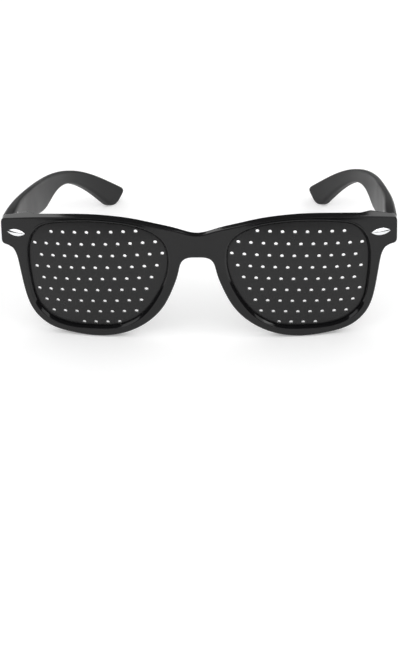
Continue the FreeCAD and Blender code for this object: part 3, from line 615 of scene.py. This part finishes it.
for side_name, sign in (("right", 1), ("left", -1)):
    grids, rows, cols = plaque_grid(sign)
    ends = []
    for points, _, _, _ in grids:
        block = points.reshape(rows, cols, 3)
        ends.append(np.vstack([block[0], block[-1][::-1]]))
    grids.append((np.vstack(ends), 2, 2 * cols, True))
    badge = make_piece(side_name + "_plaque_visual", grids, plaque_chrome)
    for polygon in badge.data.polygons:
        polygon.use_smooth = False
    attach(badge, "front")
    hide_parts(side_name + "_plaque")

# Floor
# Plain white ground that runs past the picture on every side. It glows a little to the camera
# and in reflections, so that it shows white, and it keeps the shadow of the glasses.
GROUND_WHITE, GROUND_GLOW = 0.85, 0.28
FLOOR_SIDE, FLOOR_FRONT, FLOOR_BACK = 3, -1.2, 4
ground = bpy.data.materials.new("ground")
ground.use_nodes = True
tree = ground.node_tree
white = tree.nodes["Principled BSDF"]
white.inputs["Base Color"].default_value = (GROUND_WHITE, GROUND_WHITE, GROUND_WHITE, 1)
white.inputs["Roughness"].default_value = 0.9
white.inputs["Specular IOR Level"].default_value = 0.0
white.inputs["Emission Color"].default_value = (1, 1, 1, 1)
seen = tree.nodes.new("ShaderNodeLightPath")
either = tree.nodes.new("ShaderNodeMath")
either.operation = "MAXIMUM"
tree.links.new(seen.outputs["Is Camera Ray"], either.inputs[0])
tree.links.new(seen.outputs["Is Glossy Ray"], either.inputs[1])
background_rays = tree.nodes.new("ShaderNodeMath")
background_rays.operation = "MAXIMUM"
tree.links.new(either.outputs["Value"], background_rays.inputs[0])
tree.links.new(seen.outputs["Is Transmission Ray"], background_rays.inputs[1])
glow = tree.nodes.new("ShaderNodeMath")
glow.operation = "MULTIPLY"
glow.inputs[1].default_value = GROUND_GLOW
tree.links.new(background_rays.outputs["Value"], glow.inputs[0])
tree.links.new(glow.outputs["Value"], white.inputs["Emission Strength"])
sheet = bpy.data.meshes.new("floor")
corners = [(-FLOOR_SIDE, FLOOR_FRONT, 0), (FLOOR_SIDE, FLOOR_FRONT, 0),
           (FLOOR_SIDE, FLOOR_BACK, 0), (-FLOOR_SIDE, FLOOR_BACK, 0)]
sheet.from_pydata(corners, [], [(0, 1, 2, 3)])
sheet.materials.append(ground)
floor = bpy.data.objects.new("floor", sheet)
bpy.context.scene.collection.objects.link(floor)

# Light
# One large soft lamp overhead that reflections do not show, three cards in front, two behind
# and a small one at the side that they do, and a dark room around.
ROOM = 0.04
AIM = (0, 0, 0.03)
world = bpy.data.worlds.new("room")
world.use_nodes = True
world.node_tree.nodes["Background"].inputs["Color"].default_value = (ROOM, ROOM, ROOM, 1)
bpy.context.scene.world = world


def soft_box(name, place, target, width, height, power):
    """Rectangular light at a place, facing a target."""
    light = bpy.data.lights.new(name, "AREA")
    light.shape = "RECTANGLE"
    light.size, light.size_y, light.energy = width, height, power
    lamp = bpy.data.objects.new(name, light)
    lamp.location = place
    lamp.rotation_euler = (Vector(target) - Vector(place)).to_track_quat("-Z", "Y").to_euler()
    bpy.context.scene.collection.objects.link(lamp)
    return lamp


overhead = soft_box("overhead", (0, 0, 1.0), (0, 0, 0), 3.2, 3.2, 26)
overhead.visible_glossy = False
soft_box("behind_left", (-0.86, 1.5, 0.7), AIM, 1.0, 1.3, 3.4)
soft_box("behind_right", (0.76, 1.5, 0.7), AIM, 1.0, 1.3, 3.4)
soft_box("front_high", (0, -1.1, 0.9), AIM, 1.3, 0.5, 2.9)
soft_box("front_left", (-1.05, -0.6, 0.9), AIM, 1.3, 0.6, 3.4)
soft_box("front_right", (1.05, -0.6, 0.9), AIM, 1.3, 0.6, 3.4)
soft_box("side_high", (0.75, -0.3, 0.75), AIM, 0.3, 0.3, 0.6)

# Camera
# Stands before the glasses and looks down at them, a little turned, by angles measured in the
# lens frame.
# Focal length and optical centre count in pixels of the picture, distances in millimetres.
FOCAL, DISTANCE, SHIFT_X, SHIFT_Z = 1644.35, 598.3, -0.934, -5.955
PICTURE_WIDTH, PICTURE_HEIGHT, CENTRE_X, CENTRE_Y, SENSOR = 400, 672, 199.8, 251.8, 36
ELEVATION, YAW, ROLL = math.radians(22.397), math.radians(-3.848), math.radians(-1.596)
turn_up = Matrix.Rotation(ELEVATION, 3, "X")
turn_side = Matrix.Rotation(YAW, 3, "Z")
turn_roll = Matrix.Rotation(ROLL, 3, "Y")
to_camera = turn_roll @ turn_up @ turn_side
stand = Matrix.Rotation(STAND_ANGLE, 3, "X")
centre = -(to_camera.transposed() @ Vector((SHIFT_X, DISTANCE, SHIFT_Z)))
right = stand @ (to_camera.transposed() @ Vector((1, 0, 0)))
ahead = stand @ (to_camera.transposed() @ Vector((0, 1, 0)))
upward = stand @ (to_camera.transposed() @ Vector((0, 0, 1)))
lens = bpy.data.cameras.new("camera")
camera = bpy.data.objects.new("camera", lens)
bpy.context.scene.collection.objects.link(camera)
basis = Matrix((right, upward, -ahead)).transposed().to_4x4()
place = (stand @ centre + Vector(STAND_SHIFT.tolist())) / 1000
camera.matrix_world = Matrix.Translation(place) @ basis
lens.sensor_width = SENSOR
lens.lens = FOCAL / PICTURE_HEIGHT * SENSOR
lens.shift_x = (PICTURE_WIDTH / 2 - CENTRE_X) / PICTURE_HEIGHT
lens.shift_y = (CENTRE_Y - PICTURE_HEIGHT / 2) / PICTURE_HEIGHT
lens.clip_start, lens.clip_end = 0.05, 20
bpy.context.scene.camera = camera
bpy.context.scene.view_settings.view_transform = "Standard"
